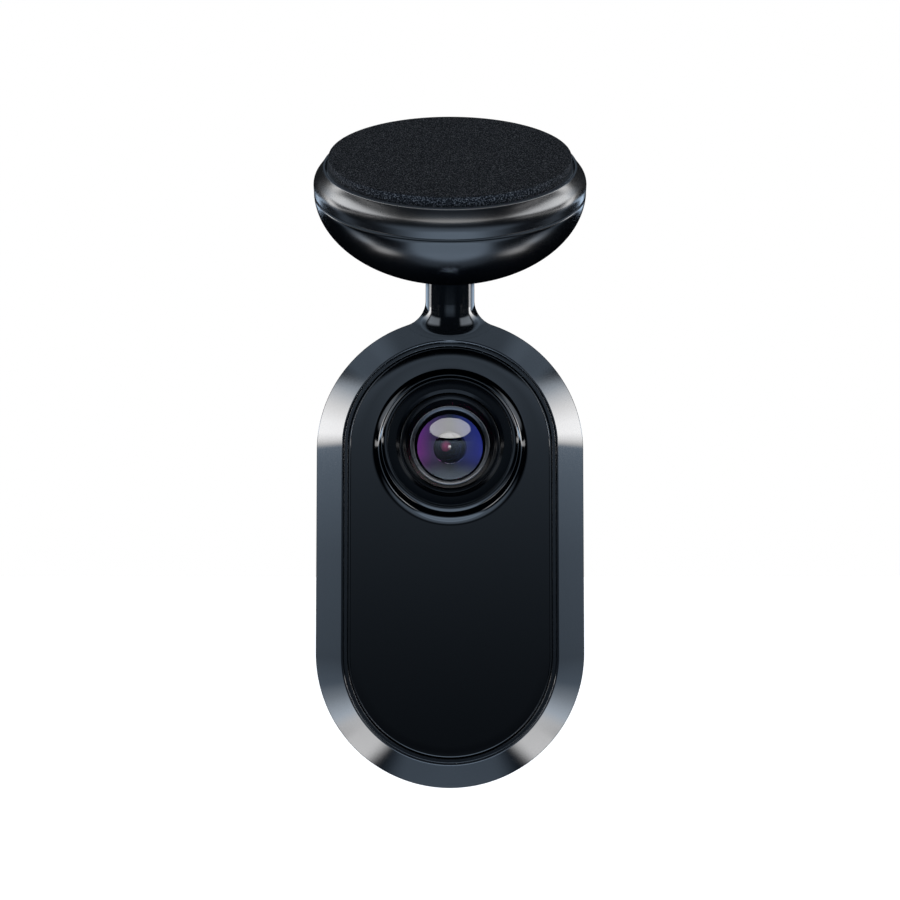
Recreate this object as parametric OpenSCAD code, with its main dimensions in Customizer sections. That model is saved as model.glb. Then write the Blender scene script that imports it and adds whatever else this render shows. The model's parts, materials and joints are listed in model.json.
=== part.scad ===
// Dash camera on a windscreen pad with a ball joint.
// Origin: centre of the pad's adhesive face. +Z up, lens looks along -Y.
// Millimetres. The camera body hangs upright, the pad leans forward.

/* [Windscreen mount] */
// Lean of the pad's face normal from vertical, towards the lens side, in degrees
mount_tilt = 37.6; // [34:0.2:39]
// Radius of the mount's widest ring
disc_r = 19.2; // [19.2:0.1:20]
// Radius of the foam pad
pad_r = 16.9; // [16:0.1:16.9]
// Thickness of the foam pad
pad_t = 1.4; // [1.2:0.1:1.4]
// Depth of the mount, from pad face to the bottom of its bowl
disc_h = 17.0; // [17:0.1:18]

/* [Ball joint] */
// Radius of the ball
ball_r = 5.4; // [5.2:0.1:5.4]
// Distance from pad face to ball centre, along the mount's axis
ball_drop = 10; // [10:0.1:10.4]
// Largest angle between the stem and the mount's axis
cone_max = 40; // [30:1:40]
// Radius of the stem
stem_r = 3.5; // [3.3:0.1:3.5]

/* [Camera body] */
// Radius of the body's round ends, half its width
body_r = 19.0; // [19:0.1:19.6]
// Distance between the centres of the two round ends
end_gap = 28.7; // [28.7:0.1:32]
// Depth from face plate to rear face
body_d = 24; // [24:0.1:26]
// Depth of the sloping bezel
bezel_d = 5.2; // [4.8:0.1:5.4]
// Radius of the bezel's inner edge
bezel_in_r = 14.7; // [14.6:0.1:14.8]
// Wall thickness of the housing
wall = 1.6; // [1.4:0.1:1.8]
// Distance from ball centre down to the middle of the body
hang = 47.4; // [47.4:0.1:50]
// Depth of the stem's axis behind the face plate
stem_back = 5.6; // [5.4:0.1:5.8]

/* [Lens] */
// Height of the lens rim in front of the face plate
rim_h = 6.2; // [6:0.1:6.4]
// Radius of the rim's foot
rim_foot_r = 10.9; // [10.7:0.1:11]
// Outer radius of the lens barrel's head
barrel_r = 6.6; // [6.5:0.05:6.6]
// Radius of the lens barrel's thread
thread_r = 6.0; // [5.9:0.05:6]
// Radius of the front glass
glass_r = 4.5; // [4.4:0.1:4.5]

/* [Controls] */
// Radius of the round button on the back
button_r = 4.0; // [3.6:0.1:4.2]
// How far the back button stands out
button_out = 0.8; // [0.6:0.1:1]

/* [Hidden] */
$fn = 96;
gap = 0.05;                                  // running clearance of turning and sliding fits
ball_y = ball_drop * sin(mount_tilt);
ball_z = -ball_drop * cos(mount_tilt);
half = end_gap / 2;                          // height of the lens axis above the body's middle
foot = ball_drop - 5;                        // depth of the mount's widest ring
bowl_h = disc_h - foot;                      // depth of the bowl below that ring
split_d = 15.5;                              // parting line of front housing and rear cover
cup_r = 7.4;
cup_top = 7.6;
board_d = 17;                                // front face of the main board
board_t = 1.2;
side_d = 19.9;                               // depth of the side openings' centre line
screw_x = 8.7;                               // housing screws, across
screw_z = half + 8.7;                        // housing screws, up and down
post_x = 14.1;                               // main board screws, across
post_z = 9;                                  // main board screws, up and down
lens_back = 9;                               // rear end of the lens barrel
sensor_d = 13;                               // front face of the sensor board
usb_z = 1.5;
card_z = 0;
power_z = 12.5;
pipe_z = 2;
switch_z = -half;

// ---- Helpers -------------------------------------------------------------

function arc(c, r, a0, a1, n = 8) =
    [for (i = [0:n]) let (a = a0 + (a1 - a0) * i / n) [c[0] + r * cos(a), c[1] + r * sin(a)]];

function bowl(rx, rz, t0, t1, n = 20) =
    [for (i = [0:n]) let (t = t0 + (t1 - t0) * i / n) [rx * cos(t), foot + rz * sin(t)]];

// Mount frame: +Z runs from the pad's face into the mount
module in_mount() { rotate([180 + mount_tilt, 0, 0]) children(); }

// Body frame: origin at the middle of the face plate, +Y to the rear
module in_body() { translate([0, ball_y - stem_back, ball_z - hang]) children(); }

// Puts a solid drawn along +Z onto the line through x, z that runs to the rear
module rearward(x = 0, z = 0, d = 0) { translate([x, d, z]) rotate([-90, 0, 0]) children(); }

// Outline with two round ends, in the plane of the face plate
module pill(r) {
    square([2 * r, end_gap], center = true);
    for (s = [-1, 1]) translate([0, s * half]) circle(r);
}

module pill_slab(r, d0, d1) {
    translate([0, d0, 0]) rotate([-90, 0, 0]) linear_extrude(d1 - d0) pill(r);
}

// Sweeps a profile of [distance from the middle line, depth] round the body
module pill_sweep(profile) {
    for (turn = [0, 180]) rotate([0, turn, 0]) translate([0, 0, half])
        rotate([-90, 0, 0]) rotate([0, 0, 180]) rotate_extrude(angle = 180) polygon(profile);
    for (s = [0, 1]) mirror([s, 0, 0]) translate([0, 0, -half]) linear_extrude(end_gap) polygon(profile);
}

// Screw along +Z: head from z = 0 down, thread ends at z = length
module screw(head_r, head_h, shank_r, length) {
    difference() {
        union() {
            cylinder(r = head_r, h = head_h);
            cylinder(r = shank_r, h = length);
        }
        for (a = [0, 90]) rotate(a) translate([-head_r * 0.6, -0.2, -1]) cube([head_r * 1.2, 0.4, 1 + head_h * 0.6]);
    }
}

module chip(size, at) { translate(at) cube(size, center = true); }

// ---- Windscreen mount ----------------------------------------------------

module foam_pad() {
    edge = 0.25;
    color("#1c1e22") in_mount() rotate_extrude()
        polygon([[0, 0], [pad_r - edge, 0], [pad_r, edge], [pad_r, pad_t], [0, pad_t]]);
}

module pad_carrier() {
    top = pad_t + 0.05;
    bottom = 3.15;
    color("#202226") in_mount() difference() {
        translate([0, 0, top]) cylinder(r = disc_r - 2, h = bottom - top);
        for (a = [90:120:330]) rotate(a) translate([12.9, 0, 0]) {
            cylinder(r = 1.1, h = 5);
            cylinder(r = 2.1, h = top + 0.75);
        }
    }
}

module mount_collar() {
    bore = disc_r - 1.85;
    color("#23272d") in_mount() rotate_extrude() polygon(concat(
        [[bore, 3.25], [bore, 1.5], [bore + 0.15, 1.35]],
        [for (i = [0:10]) let (t = i / 10)
            [disc_r - 1.25 + 1.22 * (1 - pow(1 - t, 2)), 1.45 + (foot - 1.7) * t]],
        [[disc_r - 0.15, foot - 0.1], [15.5, foot - 0.1], [15.5, 3.25]]
    ));
}

module bowl_solid(inset) {
    rotate_extrude() polygon(concat(
        [[0, foot + 0.05]],
        bowl(disc_r - inset, bowl_h - inset, 0.3, 90),
        [[0, foot + 0.05]]
    ));
}

module mount_dome() {
    cone_a = cone_max + 23.5;
    color("#15181d") in_mount() difference() {
        intersection() {
            bowl_solid(0);
            union() {
                difference() {
                    translate([0, 0, foot]) cylinder(r = disc_r + 1, h = disc_h);
                    bowl_solid(1.5);
                }
                difference() {
                    translate([0, 0, foot]) cylinder(r = disc_r - 1, h = 1.3);
                    translate([0, 0, foot - 1]) cylinder(r = 15.4, h = 4);
                }
                translate([0, 0, 7.8]) cylinder(r = 10.3, h = disc_h);
                for (a = [90:120:330]) rotate(a) translate([12.9, 0, foot]) cylinder(r = 2.2, h = disc_h);
            }
        }
        translate([0, 0, -1]) cylinder(r = cup_r + gap, h = disc_h + 5);
        translate([0, 0, ball_drop]) cylinder(r1 = 0, r2 = 10 * tan(cone_a), h = 10);
        for (a = [90:120:330]) rotate(a) translate([12.9, 0, 0]) cylinder(r = 0.75, h = 11);
    }
}

module mount_screws() {
    color("#9a9ea3") in_mount() for (a = [90:120:330]) rotate(a)
        translate([12.9, 0, pad_t + 0.1]) screw(2.0, 0.7, 0.75, 8.2);
}

module disc_spring() {
    color("#a9adb2") in_mount() rotate_extrude()
        polygon([[2.2, 3.2], [2.7, 3.2], [4.8, 3.55], [4.8, 3.85], [4.3, 3.85], [2.2, 3.5]]);
}

module ball_cup() {
    seat = ball_r + gap;
    color("#34373c") in_mount() difference() {
        union() {
            translate([0, 0, cup_top - 1.2]) cylinder(r = 9, h = 1.3);
            translate([0, 0, cup_top]) cylinder(r = cup_r, h = 5.3);
        }
        translate([0, 0, ball_drop]) sphere(seat);
        translate([0, 0, 0]) cylinder(r = seat, h = ball_drop);
        translate([0, 0, ball_drop]) cylinder(r1 = 0, r2 = 10 * tan(cone_max + 24), h = 10);
    }
}

module pressure_cup() {
    color("#8d9298") in_mount() difference() {
        translate([0, 0, 3.95]) cylinder(r = ball_r - 0.1, h = 2.7);
        translate([0, 0, ball_drop]) sphere(ball_r + gap);
        translate([0, 0, 3]) cylinder(r = 1.2, h = 4);
    }
}

// ---- Ball stud: drawn along the stem, ball centre at the origin ----------

module at_ball() { translate([0, ball_y, ball_z]) children(); }

module ball_stud() {
    end = hang - half - 11.8;                // lower end of the thread
    collar = hang - half - 14.3;             // shoulder above the washer
    color("#a4a8ad") at_ball() union() {
        sphere(ball_r);
        translate([0, 0, -collar]) cylinder(r = 2.0, h = collar);
        translate([0, 0, -end]) cylinder(r = 1.5, h = end);
    }
}

module friction_washer() {
    top = hang - half - 14.3;
    color("#c6c9cd") at_ball() translate([0, 0, -top - 0.4]) difference() {
        cylinder(r = 3.4, h = 0.35);
        translate([0, 0, -1]) cylinder(r = 1.5, h = 3);
    }
}

module stud_nut() {
    top = hang - half - 14.3 + 0.4;
    color("#b4b8bc") at_ball() translate([0, 0, -top - 1.8]) difference() {
        cylinder(r = 3.1, h = 1.8, $fn = 6);
        translate([0, 0, -1]) cylinder(r = 1.5, h = 4);
    }
}

// ---- Camera housing ------------------------------------------------------

// Height of the housing's outer surface at distance r from the stem's axis, at an angle from the front
function skin_z(r, angle) =
    let (depth = stem_back - r * cos(angle),
         reach = min(body_r, bezel_in_r + depth / bezel_d * (body_r - bezel_in_r)))
    half + sqrt(reach * reach - pow(r * sin(angle), 2));

// One slice of the flare: a fillet that leaves the stem straight and meets the skin at its slope
function flare_slice(angle) =
    let (near = skin_z(stem_r, angle),
         far = skin_z(stem_r + 2.5, angle),
         turn = 90 - atan((near - far) / 2.5),
         fillet = 3.85 + 0.55 * pow(cos(min(angle, 90)), 2),
         root = near + fillet * tan(turn / 2))
    concat(
        [[0, half + bezel_in_r + 0.3], [stem_r + fillet * (1 - cos(turn)), half + bezel_in_r + 0.3]],
        [for (i = [0:7]) let (a = turn * (1 - i / 7))
            [stem_r + fillet * (1 - cos(a)), root - fillet * sin(a)]],
        [[0, root]]
    );

// Stem with its flare, along +Z with z = 0 at the body's middle, front towards -Y
module neck(top) {
    step = 15;
    cylinder(r = stem_r, h = top - 1.2);
    translate([0, 0, top - 1.2]) cylinder(r1 = stem_r, r2 = stem_r - 0.8, h = 1.2);
    for (k = [-6:5]) intersection() {
        rotate_extrude() polygon(flare_slice(abs(k + 0.5) * step));
        linear_extrude(hang) polygon([
            [0, 0],
            for (a = [270 + k * step, 270 + (k + 1) * step]) 9 * [cos(a), sin(a)]
        ]);
    }
    intersection() {
        rotate_extrude() polygon(flare_slice(90));
        translate([-9, 0, 0]) cube([18, 9, hang]);
    }
}

module front_housing() {
    slope = (body_r - bezel_in_r) / bezel_d;
    in_r = body_r - wall + 0.1;
    color("#3a4048") in_body() difference() {
        union() {
            pill_sweep([
                [bezel_in_r + 0.1, 0], [body_r - 0.25, bezel_d - 0.3], [body_r, bezel_d + 0.2],
                [body_r, split_d], [in_r, split_d], [in_r, bezel_d + 0.7],
                [bezel_in_r + 0.7, 3.3], [bezel_in_r - 1.8, 3.3], [bezel_in_r - 1.8, 1.8],
                [bezel_in_r, 1.8], [bezel_in_r, 0.1]
            ]);
            translate([0, stem_back, 0]) difference() {
                neck(hang - 7.6);
                cylinder(r = 8, h = half + 14.4);
            }
            for (x = [-1, 1], z = [-1, 1]) {
                rearward(x * screw_x, z * screw_z, 1.8) cylinder(r = 2.0, h = 10.7);
                rearward(x * post_x, z * post_z, 1.8) cylinder(r = 1.7, h = board_d - 1.85);
            }
        }
        translate([0, stem_back, half + 12]) cylinder(r = 2.0 + gap, h = 30);
        translate([0, stem_back, half + 10]) cylinder(r = 3.6, h = 4.4);
        for (x = [-1, 1], z = [-1, 1]) {
            rearward(x * screw_x, z * screw_z, 4) cylinder(r = 0.8, h = 12);
            rearward(x * post_x, z * post_z, 8) cylinder(r = 0.6, h = 12);
        }
    }
}

module rear_cover() {
    round_r = 3.5;
    in_r = body_r - wall;
    color("#17191d") in_body() difference() {
        union() {
            difference() {
                pill_sweep(concat(
                    [[0, split_d + 0.2], [body_r, split_d + 0.2]],
                    arc([body_r - round_r, body_d - round_r], round_r, 0, 90),
                    [[0, body_d]]
                ));
                pill_sweep(concat(
                    [[0, split_d - 1], [in_r, split_d - 1]],
                    arc([body_r - round_r, body_d - round_r], round_r - wall, 0, 90),
                    [[0, body_d - wall]]
                ));
            }
            pill_sweep([
                [in_r - 0.8, split_d - 1.5], [in_r, split_d - 1.5],
                [in_r, split_d + 3], [in_r - 0.8, split_d + 2.2]
            ]);
            for (x = [-1, 1], z = [-1, 1])
                rearward(x * screw_x, z * screw_z, 12.7) cylinder(r = 2.3, h = body_d - wall - 12.6);
            rearward(0, switch_z, body_d - 3) cylinder(r = button_r + 1.2, h = 2);
        }
        for (x = [-1, 1], z = [-1, 1]) {
            rearward(x * screw_x, z * screw_z, 12) cylinder(r = 1.05, h = 15);
            rearward(x * screw_x, z * screw_z, body_d - 2.4) cylinder(r = 2.0, h = 5);
        }
        rearward(0, switch_z, body_d - 5) cylinder(r = button_r + 0.15, h = 8);
        rearward(0, pipe_z, body_d - 3) cylinder(r = 0.95, h = 6);
        rearward(0, pipe_z - 5, body_d - 3) cylinder(r = 0.45, h = 6);
        for (i = [-4:4], j = [-2:2]) if (i * i + 2 * j * j < 19)
            rearward(i * 1.7 + (j % 2) * 0.85, half + j * 1.7, body_d - 3) cylinder(r = 0.45, h = 6, $fn = 24);
        for (i = [-3:3])
            translate([i * 2.2 - 0.45, body_d - 3, -half - 13.5]) cube([0.9, 6, 5 - abs(i) * 0.8]);
        translate([body_r - 4, side_d, usb_z]) rotate([0, 90, 0]) linear_extrude(8) slot_shape(3.6, 9.5);
        translate([-body_r - 4, side_d - 0.3, card_z]) rotate([0, 90, 0]) linear_extrude(8) slot_shape(1.5, 12.2);
        translate([-body_r - 4, side_d, power_z]) rotate([0, 90, 0]) linear_extrude(8) slot_shape(2.7, 8.3);
    }
}

// Slot with round ends, length along local X, height along local Y
module slot_shape(height, length) {
    square([length - height, height], center = true);
    for (s = [-1, 1]) translate([s * (length - height) / 2, 0]) circle(d = height, $fn = 32);
}

module rear_seal() {
    color("#0c0d0f") in_body() difference() {
        pill_slab(body_r - 0.15, split_d, split_d + 0.2);
        pill_slab(body_r - wall + 0.12, split_d - 1, split_d + 1);
    }
}

module housing_screws() {
    color("#80858b") in_body() for (x = [-1, 1], z = [-1, 1])
        translate([x * screw_x, body_d - 0.7, z * screw_z]) rotate([90, 0, 0]) screw(1.9, 1.6, 0.8, 15);
}

module face_plate() {
    crest = 0.65;                            // convex radius at the rim's front edge
    cove = 1.35;                             // concave radius at the rim's foot
    wall_r = rim_foot_r - cove;
    color("#101318") in_body() difference() {
        union() {
            pill_sweep([
                [0, 0], [bezel_in_r - 1.05, 0], [bezel_in_r - 0.9, 0.15], [bezel_in_r - 0.9, 1.6], [0, 1.6]
            ]);
            rearward(0, half) rotate_extrude() polygon(concat(
                [[7.0, 0.8], [7.0, 0.4 - rim_h + 0.9]],
                [[8.45, 0.4 - rim_h + 0.9], [8.45, 0.1 - rim_h], [8.6, -rim_h]],
                arc([8.6, crest - rim_h], crest, -80, 0, 6),
                arc([rim_foot_r, -cove], cove, 176, 90, 10),
                [[rim_foot_r + 0.2, 0.8]]
            ));
        }
        rearward(0, half, -4) cylinder(r = 7.0, h = 12);
    }
}

module face_frame() {
    color("#2a2e34") in_body() difference() {
        pill_slab(bezel_in_r - 0.1, 0.15, 1.75);
        pill_slab(bezel_in_r - 0.62, -1, 3);
    }
}

// ---- Lens ----------------------------------------------------------------

module in_lens() { in_body() rearward(0, half) children(); }

module lens_trim_ring() {
    color("#16181c") in_lens() rotate_extrude() polygon([
        [7.2, -rim_h], [8.25, -rim_h], [8.35, 0.1 - rim_h], [8.35, 1.2 - rim_h], [6.75, 1.2 - rim_h], [6.75, 0.35 - rim_h]
    ]);
}

module lens_barrel() {
    front = 0.5 - rim_h;
    color("#1a1c20") in_lens() difference() {
        union() {
            rotate_extrude() polygon([
                [0, front], [barrel_r - 0.15, front], [barrel_r, front + 0.15],
                [barrel_r, -0.4], [thread_r, 0.2], [0, 0.2]
            ]);
            cylinder(r = thread_r, h = lens_back);
        }
        rotate_extrude() polygon([
            [0, front - 1], [6.25, front - 1], [6.25, front + 0.3], [5.95, front + 0.45],
            [5.42, -3.3], [5.42, -1.6], [4.87, -1.6], [glass_r + 0.05, 1.0], [glass_r + 0.05, 5.05], [0, 5.05]
        ]);
        translate([0, 0, -2]) cylinder(r = 3.6, h = lens_back + 4);
    }
}

module lens_retainer() {
    color("#4b4f56") in_lens() rotate_extrude() polygon(concat(
        [[5.38, -1.65]],
        arc([5.12, -2.7], 0.26, 0, -180, 8),
        [[4.86, -1.65]]
    ));
}

module front_lens() {
    sag = 2.0;
    big_r = (glass_r * glass_r + sag * sag) / (2 * sag);
    color("#5a5270", 0.5) in_lens() difference() {
        intersection() {
            translate([0, 0, big_r - 0.95]) sphere(big_r);
            translate([0, 0, -2]) cylinder(r = glass_r, h = 4.4);
        }
        translate([0, 0, 5.3]) sphere(3.6);
    }
}

module lens_spacer() {
    color("#111214") in_lens() translate([0, 0, 2.45]) difference() {
        cylinder(r = glass_r, h = 1.15);
        translate([0, 0, -1]) cylinder(r = 3.3, h = 4);
    }
}

module aperture_stop() {
    color("#0a0a0b") in_lens() translate([0, 0, 3.62]) difference() {
        cylinder(r = glass_r, h = 0.2);
        translate([0, 0, -1]) cylinder(r = 1.7, h = 3);
    }
}

module middle_lens() {
    color("#6a6f95", 0.5) in_lens() intersection() {
        translate([0, 0, 3.84 + 7]) sphere(7);
        translate([0, 0, 3]) cylinder(r = glass_r - 0.05, h = 2.02);
    }
}

module rear_lens() {
    color("#7d88a8", 0.5) in_lens() intersection() {
        translate([0, 0, 5.1]) cylinder(r = 3.55, h = 3.6);
        translate([0, 0, 12.1]) sphere(7);
        translate([0, 0, 1.7]) sphere(7);
    }
}

module lens_holder() {
    color("#1c1d20") in_lens() difference() {
        union() {
            translate([0, 0, 3]) cylinder(r = 7.6, h = 8);
            translate([-6.7, -6.7, 9.5]) cube([13.4, 13.4, sensor_d - 9.5]);
            for (s = [-1, 1]) translate([s * 7.6, 0, 11.5]) cylinder(r = 1.5, h = sensor_d - 11.5);
        }
        cylinder(r = thread_r + 0.02, h = 9.6);
        translate([0, 0, 9]) cylinder(r = 4, h = 8);
        translate([-5, -5, 11]) cube([10, 10, 5]);
        for (s = [-1, 1]) translate([s * 7.9, 0, 10]) cylinder(r = 0.5, h = 6);
    }
}

module ir_filter() {
    color("#a86f6f", 0.5) in_lens() chip([7.6, 7.6, 0.3], [0, 0, 11.2]);
}

module image_sensor() {
    color("#3b3550") in_lens() chip([8.6, 8.6, 1.2], [0, 0, sensor_d - 0.62]);
}

module sensor_board() {
    color("#1e4a2e") in_lens() difference() {
        translate([0, 0, sensor_d + 0.02]) cylinder(r = 9.6, h = 0.8);
        for (s = [-1, 1]) translate([s * 7.9, 0, 0]) cylinder(r = 0.6, h = 20);
    }
}

module sensor_screws() {
    color("#a9adb2") in_lens() for (s = [-1, 1])
        translate([s * 7.9, 0, sensor_d + 1.35]) mirror([0, 0, 1]) screw(1.0, 0.5, 0.5, 3);
}

module flex_cable() {
    w = 8;
    color("#b5762c") in_body() union() {
        translate([-w / 2, sensor_d + 0.84, half - 8]) cube([w, 0.15, 6]);
        translate([-w / 2, sensor_d + 0.84, half - 8.15]) cube([w, 3.0, 0.15]);
        translate([-w / 2, sensor_d + 3.69, half - 11]) cube([w, 0.15, 3]);
    }
}

// ---- Boards and modules inside the body ----------------------------------

module main_board() {
    color("#1c4f32") in_body() difference() {
        pill_slab(15.9, board_d, board_d + board_t);
        for (x = [-1, 1], z = [-1, 1]) {
            rearward(x * screw_x, z * screw_z, 10) cylinder(r = 2.5, h = 20);
            rearward(x * post_x, z * post_z, 10) cylinder(r = 0.7, h = 20);
        }
    }
}

module board_screws() {
    color("#a9adb2") in_body() for (x = [-1, 1], z = [-1, 1])
        translate([x * post_x, board_d + board_t + 0.72, z * post_z]) rotate([90, 0, 0]) screw(1.3, 0.7, 0.6, 6);
}

module processor() { color("#26282b") in_body() chip([12, 1.4, 12], [0, board_d - 0.71, -3]); }

module memory_chips() {
    color("#222427") in_body() for (s = [-1, 1]) chip([5, 1.0, 8], [s * 9.4, board_d - 0.51, -14]);
}

module shield_can() {
    color("#b9bcc0") in_body() difference() {
        chip([9, 1.9, 11], [0, board_d - 0.96, -18]);
        chip([8.6, 1.9, 10.6], [0, board_d - 0.76, -18]);
    }
}

module radio_module() { color("#2d3136") in_body() chip([7, 1.0, 8], [0, board_d - 0.51, -18]); }

module thermal_pad() { color("#8fa0b3") in_body() chip([12, 0.6, 12], [0, board_d - 1.72, -3]); }

module heat_spreader() {
    color("#b7babd") in_body() difference() {
        translate([-11, 14.15, -12]) cube([22, 0.8, 16]);
        translate([-4.6, 13, 3]) cube([9.2, 4, 4]);
    }
}

module gps_antenna() {
    color("#cbb48a") in_body() difference() {
        chip([12, 3.4, 12], [0, 6.0, -half - 9]);
        chip([9, 0.1, 9], [0, 4.3, -half - 9]);
    }
}

module battery_cell() { color("#5d7f9e") in_body() chip([22, 5.6, 20], [0, 6.6, -7]); }

module speaker() {
    color("#2b2d31") in_body() difference() {
        union() {
            chip([14, 2.6, 11], [0, 20.9, half]);
            rearward(0, half, 21) cylinder(r = 4.6, h = 1.35);
        }
        rearward(0, half, 22) cylinder(r = 3.6, h = 2);
    }
}

module microphone() { color("#c2b37a") in_body() chip([3, 1.1, 4], [0, board_d + board_t + 0.56, pipe_z - 5]); }

// ---- Sockets, card and buttons -------------------------------------------

module usb_c_shell() {
    color("#b9bcc0") in_body() translate([body_r - 8.2, side_d, usb_z]) rotate([0, 90, 0]) difference() {
        linear_extrude(7.4) slot_shape(3.2, 9.0);
        translate([0, 0, 1]) linear_extrude(8) slot_shape(2.6, 8.4);
    }
}

module usb_c_tongue() {
    color("#1b1c1e") in_body() translate([body_r - 7.2, side_d, usb_z]) rotate([0, 90, 0])
        translate([-3.35, -0.35, 0]) cube([6.7, 0.7, 5.2]);
}

module card_socket() {
    color("#c3c6c9") in_body() difference() {
        translate([-16.9, board_d + board_t + 0.02, card_z - 6.8]) cube([14.9, 1.9, 13.6]);
        translate([-17.8, side_d - 0.75, card_z - 5.6]) cube([15.3, 0.9, 11.2]);
    }
}

module memory_card() {
    color("#2a2c30") in_body() translate([-18.7, side_d - 0.68, card_z - 5.5]) union() {
        cube([15, 0.75, 11]);
        translate([0, 0, 2]) cube([0.7, 0.78, 7]);
    }
}

module rear_button() {
    face = body_d + button_out;
    stem_d = board_d + board_t + 1.95;
    color("#2c3036") in_body() rearward(0, switch_z) rotate_extrude() polygon(concat(
        [[0, stem_d], [1.2, stem_d], [1.2, body_d - 3.6], [button_r + 0.8, body_d - 3.6],
         [button_r + 0.8, body_d - 3.1], [button_r, body_d - 3.1]],
        arc([button_r - 0.4, face - 0.4], 0.4, 0, 90, 5),
        [[button_r - 0.8, face], [0, face - 0.25]]
    ));
}

module button_switch() {
    color("#b9bcc0") in_body() union() {
        chip([4.5, 1.0, 4.5], [0, board_d + board_t + 0.52, switch_z]);
        rearward(0, switch_z, board_d + board_t + 1) cylinder(r = 1.0, h = 0.35);
    }
}

module power_button() {
    color("#2c3036") in_body() translate([-body_r - 0.5, side_d, power_z]) rotate([0, 90, 0]) union() {
        linear_extrude(2.5) slot_shape(2.4, 8.0);
        translate([-4.5, -1.3, 2.5]) cube([9, 2.6, 0.5]);
    }
}

module power_switch() {
    color("#b9bcc0") in_body() union() {
        chip([1.4, 1.7, 4.4], [-14.9, board_d + board_t + 0.88, power_z + 1.1]);
        chip([0.5, 1.0, 1.6], [-15.8, board_d + board_t + 0.98, power_z + 1.1]);
    }
}

module status_led() { color("#dfe8ef") in_body() chip([1.6, 0.7, 1.6], [0, board_d + board_t + 0.37, pipe_z]); }

module light_pipe() {
    color("#e8edf2", 0.6) in_body() rearward(0, pipe_z, board_d + board_t + 0.8) union() {
        cylinder(r = 1.4, h = 2.9);
        cylinder(r = 0.9, h = body_d - board_d - board_t - 0.85);
    }
}

foam_pad();
pad_carrier();
mount_collar();
mount_dome();
mount_screws();
disc_spring();
ball_cup();
pressure_cup();
ball_stud();
stud_nut();
friction_washer();
front_housing();
rear_cover();
rear_seal();
housing_screws();
face_plate();
face_frame();
lens_trim_ring();
lens_barrel();
lens_retainer();
front_lens();
lens_spacer();
aperture_stop();
middle_lens();
rear_lens();
lens_holder();
ir_filter();
image_sensor();
sensor_board();
sensor_screws();
flex_cable();
heat_spreader();
thermal_pad();
main_board();
board_screws();
processor();
memory_chips();
shield_can();
radio_module();
gps_antenna();
battery_cell();
speaker();
microphone();
usb_c_shell();
usb_c_tongue();
card_socket();
memory_card();
rear_button();
button_switch();
power_button();
power_switch();
status_led();
light_pipe();
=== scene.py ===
# Looks of a dash camera on a windscreen mount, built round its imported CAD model.
# Lengths in the helper calls are millimetres; everything in Blender is metres.
import json
import math

import bmesh
import bpy
import numpy as np
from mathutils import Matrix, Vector, noise

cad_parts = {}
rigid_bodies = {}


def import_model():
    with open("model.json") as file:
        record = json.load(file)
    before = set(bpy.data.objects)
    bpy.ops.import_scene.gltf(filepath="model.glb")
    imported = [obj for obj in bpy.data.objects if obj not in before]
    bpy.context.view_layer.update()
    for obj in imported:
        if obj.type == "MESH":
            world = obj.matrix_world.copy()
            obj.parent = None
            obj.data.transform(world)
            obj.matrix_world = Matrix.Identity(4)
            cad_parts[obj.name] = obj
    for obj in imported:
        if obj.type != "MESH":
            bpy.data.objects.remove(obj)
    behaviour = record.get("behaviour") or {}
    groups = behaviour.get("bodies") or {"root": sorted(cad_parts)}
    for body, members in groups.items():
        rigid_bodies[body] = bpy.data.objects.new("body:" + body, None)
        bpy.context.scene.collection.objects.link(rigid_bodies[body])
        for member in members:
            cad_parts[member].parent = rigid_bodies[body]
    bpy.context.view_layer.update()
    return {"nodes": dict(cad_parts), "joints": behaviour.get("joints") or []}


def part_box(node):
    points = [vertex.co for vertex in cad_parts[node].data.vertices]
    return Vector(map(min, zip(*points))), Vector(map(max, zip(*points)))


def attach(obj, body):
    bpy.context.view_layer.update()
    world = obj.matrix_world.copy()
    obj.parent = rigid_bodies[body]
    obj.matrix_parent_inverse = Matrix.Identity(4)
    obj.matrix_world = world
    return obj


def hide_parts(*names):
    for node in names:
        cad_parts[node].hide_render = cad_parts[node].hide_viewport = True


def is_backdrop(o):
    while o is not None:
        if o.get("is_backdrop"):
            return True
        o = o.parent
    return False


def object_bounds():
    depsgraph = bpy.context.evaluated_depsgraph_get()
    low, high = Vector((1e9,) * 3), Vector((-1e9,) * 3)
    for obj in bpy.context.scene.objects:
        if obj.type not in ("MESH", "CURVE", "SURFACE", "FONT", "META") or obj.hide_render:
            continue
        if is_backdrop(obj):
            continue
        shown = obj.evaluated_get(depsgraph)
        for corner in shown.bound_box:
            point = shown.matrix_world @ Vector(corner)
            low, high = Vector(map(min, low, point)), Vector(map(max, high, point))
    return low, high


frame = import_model()

MM = 0.001
SEGMENTS = 192                      # points round a turned piece
CAP_POINTS = 120                    # points round each end of the body
SIDE_POINTS = 24                    # points along each straight side of the body
JOINTS = {j["name"]: j for j in frame["joints"]}


# ---- Places and sizes, read from the frame ---------------------------------

def mm_box(node):
    low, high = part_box(node)
    return low / MM, high / MM


def span(node, axis):
    """Lowest and highest value of a node's points along an axis through the origin, in mm."""
    along = [v.co.dot(axis) / MM for v in frame["nodes"][node].data.vertices]
    return min(along), max(along)


X, Y, Z = Vector((1, 0, 0)), Vector((0, 1, 0)), Vector((0, 0, 1))
DISC = Vector(JOINTS["mount_swivel"]["axis"])          # from the pad's face into the mount
BALL = Vector(JOINTS["ball_tilt"]["pos_m"]) / MM

frame_low, frame_high = mm_box("face_frame")
case_low, case_high = mm_box("front_housing")

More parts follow.
